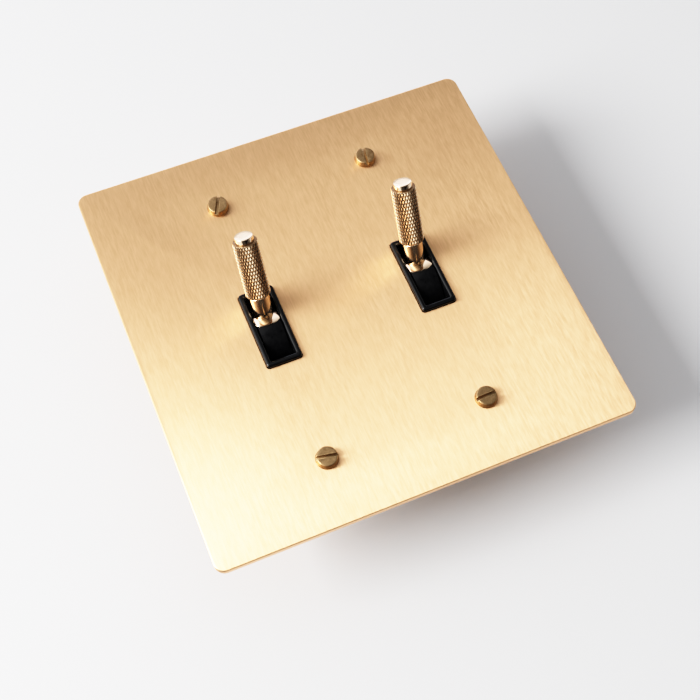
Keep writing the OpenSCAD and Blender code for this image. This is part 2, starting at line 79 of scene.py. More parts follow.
def bake(obj):
    """Applies an object's modifiers to its mesh."""
    graph = bpy.context.evaluated_depsgraph_get()
    graph.update()
    mesh = bpy.data.meshes.new_from_object(obj.evaluated_get(graph),
                                           preserve_all_data_layers=True, depsgraph=graph)
    obj.modifiers.clear()
    obj.data = mesh

def boolean(obj, cutters, operation="DIFFERENCE"):
    for cutter in cutters:
        mod = obj.modifiers.new("b", "BOOLEAN")
        mod.operation = operation
        mod.solver = "EXACT"
        mod.object = cutter
    bpy.context.view_layer.update()
    bake(obj)
    for cutter in cutters:
        bpy.data.objects.remove(cutter)

def smooth(obj, angle):
    for face in obj.data.polygons:
        face.use_smooth = True
    obj.data.set_sharp_from_angle(angle=math.radians(angle))

def bevel(obj, width, segments, angle):
    mod = obj.modifiers.new("bevel", "BEVEL")
    mod.width = width*MM
    mod.segments = segments
    mod.limit_method = "ANGLE"
    mod.angle_limit = math.radians(angle)
    mod.use_clamp_overlap = True
    mod.harden_normals = True

def copy_of(obj, name):
    twin = obj.copy()
    twin.data = obj.data.copy()
    twin.name = name
    twin.data.name = name
    return link(twin)

def join(objs, name):
    mesh = bpy.data.meshes.new(name)
    bm = bmesh.new()
    for obj in objs:
        part = obj.data.copy()
        part.transform(obj.matrix_world)
        bm.from_mesh(part)
        bpy.data.meshes.remove(part)
    bm.to_mesh(mesh)
    bm.free()
    for obj in objs:
        bpy.data.objects.remove(obj)
    return link(bpy.data.objects.new(name, mesh))

def hand_over(obj, body, slot, cad):
    """Gives a piece its body, its slot and material, and the CAD node it stands for."""
    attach(obj, body)
    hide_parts(cad)
    obj.data.materials.clear()
    obj.data.materials.append(MATERIALS[slot])


# ------------------------------------------------------------------ shapes, as (verts, faces)

def lathe(profile, segments):
    """Profile of (radius, z) turned about Z. It closes on itself unless it ends on the axis."""
    verts, faces, rows = [], [], []
    for radius, z in profile:
        if radius < 1e-6:
            rows.append([len(verts)])
            verts.append((0, 0, z))
        else:
            rows.append(list(range(len(verts), len(verts) + segments)))
            verts += [(radius*math.cos(2*math.pi*i/segments),
                       radius*math.sin(2*math.pi*i/segments), z) for i in range(segments)]
    pairs = list(zip(rows, rows[1:]))
    if len(rows[0]) > 1 and len(rows[-1]) > 1:
        pairs.append((rows[-1], rows[0]))
    for low, high in pairs:
        for i in range(segments):
            j = (i + 1) % segments
            quad = [low[i % len(low)], low[j % len(low)], high[j % len(high)], high[i % len(high)]]
            face = list(dict.fromkeys(quad))    # a pole turns the quad into a triangle
            if len(face) > 2:
                faces.append(face)
    return verts, faces

def skin(rings, closed=False):
    """Joins rings of equal length with quads; the ends are capped or joined to each other."""
    n, m = len(rings[0]), len(rings)
    verts = [point for ring in rings for point in ring]
    faces = []
    for a in range(m if closed else m - 1):
        b = (a + 1) % m
        for i in range(n):
            j = (i + 1) % n
            faces.append((a*n + i, a*n + j, b*n + j, b*n + i))
    if not closed:
        faces.append(tuple(range(n - 1, -1, -1)))
        faces.append(tuple((m - 1)*n + i for i in range(n)))
    return verts, faces

def box(x_span, y_span, z_span):
    verts = [(x, y, z) for x in x_span for y in y_span for z in z_span]
    faces = [(0, 1, 3, 2), (4, 6, 7, 5), (0, 4, 5, 1), (2, 3, 7, 6), (0, 2, 6, 4), (1, 5, 7, 3)]
    return verts, faces

def cylinder(radius, z0, z1):
    return lathe([(0, z0), (radius, z0), (radius, z1), (0, z1)], 64)

def arc(cx, cy, radius, start, end, steps):
    angles = [math.radians(start + (end - start)*i/steps) for i in range(steps + 1)]
    return [(cx + radius*math.cos(a), cy + radius*math.sin(a)) for a in angles]

def low_round(radius, z, edge, angles):
    """Profile points that round the lower outer corner of a turned piece."""
    return [(radius - edge + edge*math.sin(math.radians(a)),
             z + edge - edge*math.cos(math.radians(a))) for a in angles]

def repeat_up(points, z, z_end, step):
    """Profile points (radius, rise) repeated along Z."""
    profile = []
    while z < z_end:
        profile += [(radius, z + rise) for radius, rise in points]
        z += step
    return profile

def round_rect(half_x, half_z, r, steps=8, side_parts=1):
    """Rounded rectangle as (x, z), with each straight side cut in side_parts."""
    points = []
    corners = [(half_x - r, half_z - r, 0), (-half_x + r, half_z - r, 90),
               (-half_x + r, -half_z + r, 180), (half_x - r, -half_z + r, 270)]
    for k, (cx, cz, angle) in enumerate(corners):
        points += arc(cx, cz, r, angle, angle + 90, steps)
        next_x, next_z, next_angle = corners[(k + 1) % 4]
        x0, z0 = points[-1]
        x1 = next_x + r*math.cos(math.radians(next_angle))
        z1 = next_z + r*math.sin(math.radians(next_angle))
        points += [(x0 + (x1 - x0)*i/side_parts, z0 + (z1 - z0)*i/side_parts)
                   for i in range(1, side_parts)]
    return points

def at_y(outline, y):
    return [(x, y, z) for x, z in outline]


# ------------------------------------------------------------------ shader tools

class Shader:
    """Builds a node tree around one surface or background node."""

    def __init__(self, tree, output, surface):
        self.tree = tree
        tree.nodes.clear()
        self.out = self.node(output)
        self.surface = self.node(surface)
        self.feed(self.out.inputs[0], self.surface.outputs[0])

    def node(self, kind, **settings):
        made = self.tree.nodes.new("ShaderNode" + kind)
        for key, value in settings.items():
            setattr(made, key, value)
        return made

    def feed(self, socket, value):
        """Links another socket into this one, or sets a plain value."""
        if isinstance(value, bpy.types.NodeSocket):
            self.tree.links.new(value, socket)
        else:
            socket.default_value = (*value, 1) if socket.type == "RGBA" else value

    def put(self, node, **values):
        """Feeds inputs by name, with _ for a space."""
        for key, value in values.items():
            self.feed(node.inputs[key.replace("_", " ")], value)
        return node

    def set(self, **values):
        self.put(self.surface, **values)

    def coords(self, stretch=(1, 1, 1), shift=(0, 0, 0)):
        source = self.node("TexCoord")
        mapping = self.put(self.node("Mapping"), Scale=stretch, Location=shift,
                           Vector=source.outputs["Object"])
        return mapping.outputs[0]

    def noise(self, scale, detail=3, rough=0.6, warp=0.0, **placing):
        vector = self.coords(**placing)
        return self.put(self.node("TexNoise"), Scale=scale, Detail=detail, Roughness=rough,
                        Distortion=warp, Vector=vector).outputs["Fac"]

    def separate(self, vector):
        node = self.node("SeparateXYZ")
        self.feed(node.inputs[0], vector)
        return node.outputs

    def remap(self, value, span, to=(0, 1)):
        """Takes the span of a value linearly to another span, clamped."""
        node = self.put(self.node("MapRange"), From_Min=span[0], From_Max=span[1],
                        To_Min=to[0], To_Max=to[1], Value=value)
        return node.outputs["Result"]

    def math(self, operation, *values):
        node = self.node("Math", operation=operation)
        for socket, value in zip(node.inputs, values):
            self.feed(socket, value)
        return node.outputs[0]

    def add(self, a, b):
        return self.math("ADD", a, b)

    def times(self, a, b):
        return self.math("MULTIPLY", a, b)

    def mix(self, factor, low, high):
        """Colour mix: low at 0, high at 1."""
        node = self.node("Mix", data_type="RGBA")
        for index, value in ((6, low), (7, high), (0, factor)):
            self.feed(node.inputs[index], value)
        return node.outputs[2]

    def mix_value(self, factor, low, high):
        node = self.node("Mix", data_type="FLOAT")
        for index, value in ((0, factor), (2, low), (3, high)):
            self.feed(node.inputs[index], value)
        return node.outputs[0]

    def bump(self, height, strength, distance):
        return self.put(self.node("Bump"), Strength=strength, Distance=distance,
                        Height=height).outputs[0]

    def edge_mask(self, radius=0.0002):
        """1 on edges, from the difference between the true and the rounded normal."""
        rounded = self.put(self.node("Bevel", samples=4), Radius=radius)
        true = self.node("NewGeometry")
        dot = self.node("VectorMath", operation="DOT_PRODUCT")
        self.feed(dot.inputs[0], rounded.outputs[0])
        self.feed(dot.inputs[1], true.outputs["Normal"])
        return self.remap(dot.outputs["Value"], span=(0.995, 0.90))

    def below(self, x, z):
        """1 in a wedge that points down, 0 to its left and right."""
        angle = self.math("ARCTAN2", x, self.times(z, -1.0))
        return self.times(self.remap(angle, span=(-0.78, -0.58)),
                          self.remap(angle, span=(0.72, 0.92), to=(1, 0)))

    def curve(self, value, points, top=4.0):
        """A smooth function of one number, from (x, y) points with y in 0..top."""
        node = self.node("FloatCurve")
        x0, x1 = points[0][0], points[-1][0]
        curve = node.mapping.curves[0]
        curve.points[0].location = (0, points[0][1]/top)
        curve.points[-1].location = (1, points[-1][1]/top)
        for x, y in points[1:-1]:
            curve.points.new((x - x0)/(x1 - x0), y/top)
        for point in curve.points:
            point.handle_type = "AUTO_CLAMPED"
        node.mapping.update()
        self.put(node, Value=self.remap(value, span=(x0, x1)))
        return self.times(node.outputs[0], top)


def new_material(name):
    material = bpy.data.materials.new(name)
    material.use_nodes = True
    return material, Shader(material.node_tree, "OutputMaterial", "BsdfPrincipled")

def brighter(colour, gain, lift=0.0):
    return tuple(min(1, channel*gain + lift) for channel in colour)


# ------------------------------------------------------------------ materials

def satin_brass(name):
    """Brushed brass; the lines run up and down, fine across X and long in Z."""
    material, sh = new_material(name)
    fine = sh.noise(scale=5200, detail=2, stretch=(1, 1, 0.012))
    mid = sh.noise(scale=2200, stretch=(1, 1, 0.13), shift=(0.3, 0, 0.1))
    broad = sh.noise(scale=70, detail=2, rough=0.5, stretch=(1, 1, 0.2), shift=(0.7, 0, 0.4))
    fine_share, mid_share = 0.25, 0.75
    lines = sh.add(sh.times(fine, fine_share), sh.times(mid, mid_share))
    colour = sh.mix(sh.remap(lines, span=(0.34, 0.66)),
                    low=(0.84, 0.50, 0.255), high=(0.985, 0.61, 0.335))
    colour = sh.mix(sh.remap(broad, span=(0.35, 0.7), to=(0, 0.30)),
                    low=colour, high=(0.92, 0.555, 0.29))
    tangent = sh.node("Tangent", direction_type="UV_MAP")
    sh.set(Base_Color=colour, Metallic=1, Anisotropic=0.92, Tangent=tangent.outputs[0],
           Roughness=sh.remap(lines, span=(0.25, 0.75), to=(0.37, 0.46)),
           Normal=sh.bump(lines, strength=0.09, distance=0.00004),
           Coat_Weight=0.12, Coat_Roughness=0.35)
    return material

def polished_brass(name, rough):
    """Faint turning lines about the piece's own Z axis, smudges and small scratches."""
    material, sh = new_material(name)
    turning = sh.noise(scale=9000, detail=2, stretch=(0.02, 0.02, 1))
    smudge = sh.noise(scale=320, detail=4, warp=0.4)
    fine = sh.noise(scale=2600, shift=(2, 1, 0))
    fine_depth = 0.4        # against the turning lines
    colour = sh.mix(sh.remap(smudge, span=(0.35, 0.75), to=(0, 0.5)),
                    low=(0.94, 0.71, 0.49), high=(0.88, 0.61, 0.38))
    roughness = sh.add(sh.remap(smudge, span=(0.3, 0.8), to=(rough, rough*2.0)),
                       sh.remap(fine, span=(0.4, 0.7), to=(0, rough*0.6)))
    height = sh.add(turning, sh.times(fine, fine_depth))
    sh.set(Base_Color=colour, Metallic=1, Roughness=roughness,
           Normal=sh.bump(height, strength=0.06, distance=0.00002))
    return material

def knurled_brass(name):
    """Bright crests; the grooves, found by their distance from the axis, are painted dark: painted
    shade in the hollows.
    """
    material, sh = new_material(name)
    groove_radii = (3.28*MM, 3.38*MM)       # full painted shade, none
    groove_shade_noise = sh.noise(scale=700, detail=4)
    x, y, _ = sh.separate(sh.node("TexCoord").outputs["Object"])
    radius = sh.math("SQRT", sh.add(sh.math("POWER", x, 2.0), sh.math("POWER", y, 2.0)))
    # film: painted shade in the grooves, varied a little by groove_shade_noise
    film = sh.times(sh.remap(radius, span=groove_radii, to=(1, 0)),
                    sh.remap(groove_shade_noise, span=(0.3, 0.7), to=(0.80, 1.0)))
    sh.set(Base_Color=sh.mix(film, low=(0.96, 0.72, 0.48), high=(0.17, 0.09, 0.036)), Metallic=1,
           Roughness=sh.remap(film, span=(0, 1), to=(0.24, 0.50)),
           Normal=sh.bump(sh.noise(scale=4200), strength=0.10, distance=0.00002))
    return material

def antique_brass(name):
    """Dark mottled brass, bright on worn edges."""
    material, sh = new_material(name)
    blotch = sh.noise(scale=420, detail=5, rough=0.62, warp=0.6)
    speck = sh.noise(scale=1500, detail=4, shift=(5, 2, 1))
    wear_strength = 0.75
    edge_lightening = sh.edge_mask(radius=0.00022)
    colour = sh.mix(sh.remap(blotch, span=(0.38, 0.68)),
                    low=(0.50, 0.325, 0.165), high=(0.26, 0.16, 0.076))
    colour = sh.mix(sh.remap(speck, span=(0.5, 0.75), to=(0, 0.5)),
                    low=colour, high=(0.17, 0.095, 0.042))
    colour = sh.mix(sh.times(edge_lightening, wear_strength), low=colour, high=(0.78, 0.57, 0.30))
    roughness = sh.add(sh.remap(blotch, span=(0.3, 0.7), to=(0.30, 0.48)),
                       sh.remap(speck, span=(0.4, 0.7), to=(0, 0.10)))
    sh.set(Base_Color=colour, Metallic=1, Roughness=roughness,
           Normal=sh.bump(sh.add(blotch, speck), strength=0.18, distance=0.00003))
    return material

def plastic(name, colour, rough, specular, grain, scale, edge_lightening=0.0):
    material, sh = new_material(name)
    fine = sh.noise(scale=scale)
    cloud = sh.noise(scale=scale*0.12, detail=4, warp=0.3, shift=(1, 4, 2))
    tone = sh.mix(sh.remap(cloud, span=(0.35, 0.7), to=(0, 0.6)),
                  low=colour, high=brighter(colour, gain=1.5, lift=0.004))
    # lighter edges on the plastics: a painted highlight that keeps the form readable
    if edge_lightening:
        tone = sh.mix(sh.times(sh.edge_mask(), edge_lightening),
                      low=tone, high=brighter(colour, gain=3, lift=0.02))
    sh.set(Base_Color=tone, Specular_IOR_Level=specular, Coat_Roughness=0.06,
           Roughness=sh.remap(cloud, span=(0.3, 0.75), to=(rough*0.85, rough*1.25)),
           Normal=sh.bump(fine, strength=grain, distance=0.00004))
    return material

def metal(name, base, dark, rough, scale, spangle=0, grain=0.1):
    """Cloudy metal, lighter on its edges; spangle is the scale of an optional crystal pattern."""
    material, sh = new_material(name)
    cloud = sh.noise(scale=scale, detail=4, warp=0.2)
    fine = sh.noise(scale=scale*5, shift=(3, 1, 2))
    tarnish = sh.remap(cloud, span=(0.35, 0.7), to=(0, 0.8))
    if spangle:
        cells = sh.put(sh.node("TexVoronoi"), Scale=spangle, Vector=sh.coords())
        split = sh.node("SeparateColor")
        sh.feed(split.inputs[0], cells.outputs["Color"])
        half = 0.5
        tarnish = sh.times(sh.add(tarnish, split.outputs[0]), half)
    wear_strength = 0.4
    edge_lightening = sh.edge_mask()
    tone = sh.mix(tarnish, low=base, high=dark)
    tone = sh.mix(sh.times(edge_lightening, wear_strength), low=tone, high=brighter(base, gain=1.15))
    roughness = sh.add(sh.remap(tarnish, span=(0, 1), to=(rough*0.8, rough*1.2)),
                       sh.remap(fine, span=(0.4, 0.7), to=(0, rough*0.25)))
    sh.set(Base_Color=tone, Metallic=1, Roughness=roughness,
           Normal=sh.bump(sh.add(cloud, fine), strength=grain, distance=0.00003))
    return material

# material slot, maker, look
LOOKS = [
    ("satin_brass", satin_brass, {}),
    ("polished_brass", polished_brass, dict(rough=0.07)),
    ("knurled_brass", knurled_brass, {}),
    ("antique_brass", antique_brass, {}),
    ("contact_brass", metal, dict(base=(0.80, 0.59, 0.29), dark=(0.62, 0.42, 0.18),
                                  rough=0.28, scale=300)),
    # on the plastics, edge_lightening paints a highlight along the edges
    ("black_gloss", plastic, dict(colour=(0.0015, 0.0015, 0.0017), rough=0.08, specular=0.28,
                                  grain=0.015, scale=2500, edge_lightening=0.15)),
    ("black_satin", plastic, dict(colour=(0.003, 0.003, 0.0034), rough=0.30, specular=0.10,
                                  grain=0.05, scale=6000, edge_lightening=0.1)),
    ("body_dark", plastic, dict(colour=(0.030, 0.030, 0.032), rough=0.42, specular=0.45,
                                grain=0.14, scale=2600, edge_lightening=0.35)),
    ("body_grey", plastic, dict(colour=(0.115, 0.112, 0.105), rough=0.45, specular=0.45,
                                grain=0.14, scale=2600, edge_lightening=0.35)),
    ("zinc_steel", metal, dict(base=(0.66, 0.665, 0.66), dark=(0.47, 0.475, 0.48),
                               rough=0.32, scale=260, spangle=900)),
    ("bright_steel", metal, dict(base=(0.72, 0.72, 0.72), dark=(0.60, 0.60, 0.61),
                                 rough=0.18, scale=900, grain=0.05)),
    ("spring_steel", metal, dict(base=(0.56, 0.56, 0.57), dark=(0.42, 0.42, 0.43),
                                 rough=0.25, scale=1200, grain=0.05)),
    ("red_fibre", plastic, dict(colour=(0.34, 0.060, 0.040), rough=0.62, specular=0.35,
                                grain=0.30, scale=1800, edge_lightening=0.2)),
    ("acetal", plastic, dict(colour=(0.80, 0.785, 0.73), rough=0.38, specular=0.5,
                             grain=0.06, scale=3000)),
    ("carrier_plastic", plastic, dict(colour=(0.56, 0.47, 0.34), rough=0.48, specular=0.45,
                                      grain=0.12, scale=2400, edge_lightening=0.2)),
    ("silver_contact", metal, dict(base=(0.86, 0.86, 0.85), dark=(0.70, 0.70, 0.69),
                                   rough=0.20, scale=900, grain=0.05)),
    ("green_zinc", metal, dict(base=(0.045, 0.30, 0.12), dark=(0.03, 0.20, 0.08),
                               rough=0.34, scale=500, grain=0.12)),
]
MATERIALS = {name: make(name, **look) for name, make, look in LOOKS}


# ------------------------------------------------------------------ face plate

def punch(outline):
    """Cutter that goes through the plate."""
    return solid("cut", *skin([at_y(outline, y) for y in (-4, 2)]))

def face_plate():
    """Slab with a rounded front edge, two lever openings and four screw holes."""
    corner, edge, hole = 3.0, 0.32, 2.2
    back_break = 0.15
    uv_per_metre = 5
    # (inset, y) from the back rim to the front face
    profile = [(back_break, 0.0), (0.0, -back_break), (0.0, -PLATE_T + edge)]
    profile += [(edge - edge*math.cos(math.radians(a)),
                 -PLATE_T + edge - edge*math.sin(math.radians(a))) for a in (18, 36, 54, 72, 90)]
    plate = solid("face_plate_sheet", *skin([
        at_y(round_rect(PLATE_HALF - inset, PLATE_HALF - inset, corner - inset, steps=14), y)
        for inset, y in profile]))
    cutters = []
    for side, _ in SIDES:
        middle = side*PITCH/2
        cutters.append(punch([(x + middle, z) for x, z in round_rect(10.5/2, 24.0/2, 0.9)]))
        for row in (-1, 1):
            cutters.append(punch([(middle + hole*math.cos(2*math.pi*i/64),
                                   row*SCREW_Z + hole*math.sin(2*math.pi*i/64))
                                  for i in range(64)]))
    boolean(plate, cutters)
    layer = plate.data.uv_layers.new(name="UVMap")
    for loop in plate.data.loops:
        co = plate.data.vertices[loop.vertex_index].co
        layer.data[loop.index].uv = (co.x*uv_per_metre, co.z*uv_per_metre)
    bevel(plate, 0.10, segments=2, angle=50)
    smooth(plate, 40)
    return plate

hand_over(face_plate(), "wall_unit", "satin_brass", "face_plate")


# ------------------------------------------------------------------ plate screws
# In a screw's frame Z runs into the wall, from 0 at the front of the head.

def screw_thread(z0, z1):
    """Threaded rod that fades in at z0 and tapers at z1."""
    crest, root, pitch, taper = 1.75, 1.38, 0.794, 0.6
    segments, rings_per_turn = 32, 8
    n = int((z1 - z0)/pitch*rings_per_turn)
    rings = []
    for k in range(n + 1):
        z = z0 + (z1 - z0)*k/n
        fade = max(0, min(1, (z - z0)/pitch, (z1 - z)/taper + 0.15))
        ring = []
        for i in range(segments):
            turn = i/segments
            phase = ((z - z0)/pitch - turn) % 1.0
            height = 1 - abs(2*phase - 1)
            height = min(1.0, max(0.0, (height - 0.12)/0.76))   # flat roots and crests
            radius = root + (crest - root)*height*fade
            ring.append((radius*math.cos(2*math.pi*turn), radius*math.sin(2*math.pi*turn), z))
        rings.append(ring)
    return solid("rod", *skin(rings))

def plate_screw(name, side, row, slot_turn):
    height = SCREW_HEAD_H
    # (radius, z) of the head and the plain shank
    profile = [(0, 0), (0.9, 0.0), (2.0, 0.01)]
    profile += low_round(2.84, 0, 0.30, (0, 22, 45, 68, 90))
    profile += [(2.90, 0.6), (3.02, 1.2), (3.12, 1.66), (3.15, 1.75), (3.13, 1.83),
                (3.05, height), (1.45, height), (1.45, 6.05), (0, 6.05)]
    head = solid("head", *lathe(profile, 96))
    slot = solid("slot", *box((-5, 5), (-0.5, 0.5), (-1, 0.95)))
    slot.rotation_euler = (0, 0, math.radians(slot_turn))
    boolean(head, [slot])
    bevel(head, 0.07, segments=3, angle=40)
    bake(head)
    rod = screw_thread(6.0, height + PLATE_T + 24)
    spot = Matrix.Translation((side*PITCH/2*MM, (-PLATE_T - height)*MM, row*SCREW_Z*MM))
    for part in (head, rod):
        part.matrix_world = spot @ Matrix.Rotation(math.radians(-90), 4, "X")
    bpy.context.view_layer.update()
    screw = join([head, rod], name)
    smooth(screw, 32)
    return screw

# side, row, turn of the slot in degrees
SCREWS = [(-1, 1, -64), (1, 1, -80), (-1, -1, 10), (1, -1, -2)]
for number, spec in enumerate(SCREWS, 1):
    hand_over(plate_screw(f"plate_screw_{number}", *spec),
              "wall_unit", "antique_brass", "plate_screws")


# ------------------------------------------------------------------ bezels

def bezel(side, side_name):
    """One closed skin: flange behind the plate, side walls, bullnose rim and straight bore."""
    half_x, half_z, corner = 10.3/2, 23.8/2, 1.0
    rim, proud, nose = 1.5, 1.2, 0.62
    bore_extra = 0.05       # the bore is this much taller at each end than the rim's width gives
    front = -PLATE_T - proud
    bore = (half_x - rim, half_z - rim - bore_extra, 0.2)
    flange_x, flange_z, chamfer = 6.4, 12.55, 0.1
    quarter = range(0, 91, 10)
    # half width, half height, corner radius, y
    stations = [
        (*bore, 2.45),
        (flange_x - chamfer, flange_z - chamfer, 0.7, 2.45),
        (flange_x, flange_z, 0.8, 2.35),
        (flange_x, flange_z, 0.8, 1.45),
        (flange_x - chamfer, flange_z - chamfer, 0.7, 1.35),
        (half_x + 0.02, half_z + 0.02, corner, 1.35),
        (half_x, half_z, corner, 1.2),
        (half_x, half_z, corner, -1.9),
        (half_x, half_z, corner, front + nose + 0.12),
    ]
    for a in quarter:
        inset = nose - nose*math.cos(math.radians(a))
        stations.append((half_x - inset, half_z - inset, corner - inset*0.8,
                         front + nose - nose*math.sin(math.radians(a))))
    stations.append((half_x - rim/2, half_z - rim/2, corner - rim*0.36, front - 0.005))
    for a in quarter:
        inset = rim - nose + nose*math.sin(math.radians(a))
        stations.append((half_x - inset, half_z - inset - bore_extra*a/90, 0.5 - 0.3*a/90,
                         front + nose - nose*math.cos(math.radians(a))))
    stations += [(*bore, front + nose + 0.12), (*bore, 2.3)]
    verts, faces = skin([at_y(round_rect(hx, hz, max(r, 0.12), side_parts=2), y)
                         for hx, hz, r, y in stations], closed=True)
    obj = solid(side_name + "_bezel_frame",
                [(x + side*PITCH/2, y, z) for x, y, z in verts], faces)
    smooth(obj, 45)
    return obj

for side, side_name in SIDES:
    hand_over(bezel(side, side_name), "wall_unit", "black_gloss", side_name + "_bezel")


# ------------------------------------------------------------------ levers
# In a lever's frame the pivot is the origin, X is its axis and Z runs out along the lever.

SEAT_Z = 8.88           # flat of the drum, under the washer
WASHER_R = 5.3
DOME_R = 16             # sphere radius of the washer's top
STEM_R = 2.85

def lever_matrix(side):
    return (Matrix.Translation((side*PITCH/2*MM, PIVOT_Y*MM, 0))
            @ Matrix.Rotation(math.radians(90 - LEVER_TILT), 4, "X"))

def drum():
    """Toggle drum, an outline in (y, z) with width along X."""
    outer, inner, hub, half_width = 10.4, 8.8, 4.6, 3.25
    skirt_end, skirt_root = 115, 52     # degrees from +Z
    seat_edge = math.degrees(math.acos(SEAT_Z/outer))

    def sweep(radius, start, end, steps):
        """Arc with its angles measured from +Z towards +Y."""
        return [(y, z) for z, y in arc(0, 0, radius, start, end, steps)]

    half = sweep(outer, seat_edge, skirt_end, 96)
    half += sweep(inner, skirt_end, skirt_root, 40)
    half += sweep(hub, skirt_root, 180 - 34.4, 24)
    half += [(2.6, -5.0)]
    outline = half + [(-y, z) for y, z in reversed(half)]
    obj = solid("drum", *skin([[(x, y, z) for y, z in outline]
                               for x in (-half_width, half_width)]))
    pin_hole = solid("pinhole", *cylinder(1.55, -10, 10))
    pin_hole.rotation_euler = (0, math.radians(90), 0)
    insert_hole = solid("insert_hole", *cylinder(2.6, 3.0, 12))
    plunger_hole = solid("plunger_hole", *cylinder(1.65, -8, -2.1))
    boolean(obj, [pin_hole, insert_hole, plunger_hole])
    bevel(obj, 0.22, segments=3, angle=40)
    bake(obj)
    smooth(obj, 40)
    return obj

def dome(radius):
    """Height of the washer's top, flat under the stem."""
    radius = max(radius, STEM_R)
    return 9.24 + math.sqrt(DOME_R**2 - radius*radius) - math.sqrt(DOME_R**2 - WASHER_R**2)

def washer():
    """Domed disc with two flats; its top is built in bands to mirror like a true dome."""
    bore, half_width = 1.6, 3.35
    rim_z = dome(WASHER_R)
    profile = [(bore, SEAT_Z), (5.24, SEAT_Z), (WASHER_R, 8.94), (WASHER_R, rim_z - 0.06),
               (5.28, rim_z - 0.025)]
    profile += [(r, dome(r)) for r in (5.24, 5.0, 4.7, 4.4, 4.1, 3.8, 3.5, 3.2, STEM_R,
                                       2.4, 2.0, bore)]
    obj = solid("washer", *lathe(profile, 160))
    flats = solid("flats", *box((-half_width, half_width), (-8, 8), (6, 12)))
    boolean(obj, [flats], "INTERSECT")
    smooth(obj, 30)
    return obj

def turned(name, profile, segments, sharp_angle):
    obj = solid(name, *lathe(profile, segments))
    smooth(obj, sharp_angle)
    return obj

def stem():
    """Threaded tail, collar on the washer, and the core under the grip."""
    collar_z, core = 9.91, 1.75
    profile = [(0, 3.4), (1.35, 3.4), (1.5, 3.6)]
    profile += repeat_up([(1.38, 0), (1.54, 0.12), (1.54, 0.22), (1.38, 0.34)], 3.7, 8.7, 0.5)
    profile += [(1.52, 8.9), (1.52, collar_z), (2.5, collar_z)]
    profile += low_round(STEM_R, collar_z, 0.25, (10, 30, 50, 70, 90))
    profile += [(STEM_R, 11.2), (STEM_R, 13.5), (STEM_R, 16.0), (STEM_R - 0.06, 16.09),
                (core, 16.1), (core, 34.0), (1.6, 34.2), (0, 34.2)]
    return turned("stem", profile, 96, 32)

def cap():
    z0, z1, radius, edge = 33.4, 35.0, 2.6, 0.26
    profile = [(0, z0 + 0.85), (1.78, z0 + 0.85), (1.78, z0 + 0.02), (2.5, z0 + 0.02),
               (radius, z0 + 0.12), (radius, z1 - edge)]
    profile += arc(radius - edge, z1 - edge, edge, 15, 90, 5)
    profile += [(1.6, z1), (0.7, z1), (0, z1)]
    return turned("cap", profile, 96, 40)

def insert():
    """Grooved bush in the drum, around the stem's tail."""
    bore, radius = 1.58, 2.58
    profile = [(bore, 3.05), (2.45, 3.05), (radius, 3.2)]
    profile += repeat_up([(radius, 0), (2.42, 0.1), (2.42, 0.35), (radius, 0.45)], 3.5, 8.3, 1.0)
    profile += [(radius, 8.7), (2.48, 8.84), (1.7, 8.84), (bore, 8.7)]
    return turned("insert", profile, 64, 32)

def knurl_lattice(count, pitch, radius, depth, flat, z_mid, rows):
    """Diamonds of truncated pyramids around a cylinder; cells are 1000 lattice units wide."""
    verts, index, faces = [], {}, []
    half_cell = 500
    half_flat = int(1000*flat/2)

    def vert(a, b, height):
        """a, b: lattice place; height: 0 groove, 1 crest."""
        key = ((a + b) % (2000*count), a - b)
        if key not in index:
            angle = math.pi/count*(key[0]/1000.0)
            rise = pitch*(key[1]/1000.0)/2
            r = radius - depth + depth*height
            index[key] = len(verts)
            verts.append((r*math.cos(angle), r*math.sin(angle), z_mid + rise))
        return index[key]

    corners = ((0, 0), (1, 0), (1, 1), (0, 1))
    near, far = half_cell - half_flat, half_cell + half_flat
    for k in range(-rows, rows + 1):
        for i in range(count):
            a, b = 1000*(i + k), 1000*i
            base = [vert(a + 1000*u, b + 1000*v, 0) for u, v in corners]
            top = [vert(a + (near, far)[u], b + (near, far)[v], 1) for u, v in corners]
            for m in range(4):
                n = (m + 1) % 4
                faces.append((base[m], base[n], top[n], top[m]))
            faces.append(tuple(top))
    return verts, faces

def grip():
    """Diamond knurl: the lattice is extended and capped, then trimmed by a turned blank."""
    z0, z1, pitch, radius = 16.12, 33.38, 2.2, 3.5
    z_mid = (z0 + z1)/2
    overrun = 6
    verts, faces = knurl_lattice(count=28, pitch=pitch, radius=radius, depth=0.24, flat=0.15,
                                 z_mid=z_mid, rows=int((z1 - z0)/2/(pitch/2)) + 3)
    mesh = bpy.data.meshes.new("knurl")
    mesh.from_pydata([(x*MM, y*MM, z*MM) for x, y, z in verts], [], faces)
    mesh.update()
    bm = bmesh.new()
    bm.from_mesh(mesh)
    rim = [e for e in bm.edges if e.is_boundary]
    low = [e for e in rim if e.verts[0].co.z < z_mid*MM]
    high = [e for e in rim if e.verts[0].co.z >= z_mid*MM]
    for edges, z in ((low, (z0 - overrun)*MM), (high, (z1 + overrun)*MM)):
        made = bmesh.ops.extrude_edge_only(bm, edges=edges)["geom"]
        for item in made:
            if isinstance(item, bmesh.types.BMVert):
                item.co.z = z
        bmesh.ops.contextual_create(bm, geom=[
            item for item in made if isinstance(item, bmesh.types.BMEdge) and item.is_boundary])
    bmesh.ops.recalc_face_normals(bm, faces=bm.faces)
    bm.to_mesh(mesh)
    bm.free()
    obj = link(bpy.data.objects.new("knurl", mesh))
    # (radius, z)
    blank = solid("blank", *lathe([
        (1.8, z0), (2.86, z0), (2.96, z0 + 0.05), (3.40, z0 + 0.42), (radius, z0 + 0.52),
        (radius, z1 - 0.30), (3.44, z1 - 0.20), (3.24, z1 - 0.03), (3.16, z1), (1.8, z1)], 112))
    boolean(obj, [blank], "INTERSECT")
    recalc_normals(obj)
    for face in obj.data.polygons:
        face.use_smooth = False
    return obj

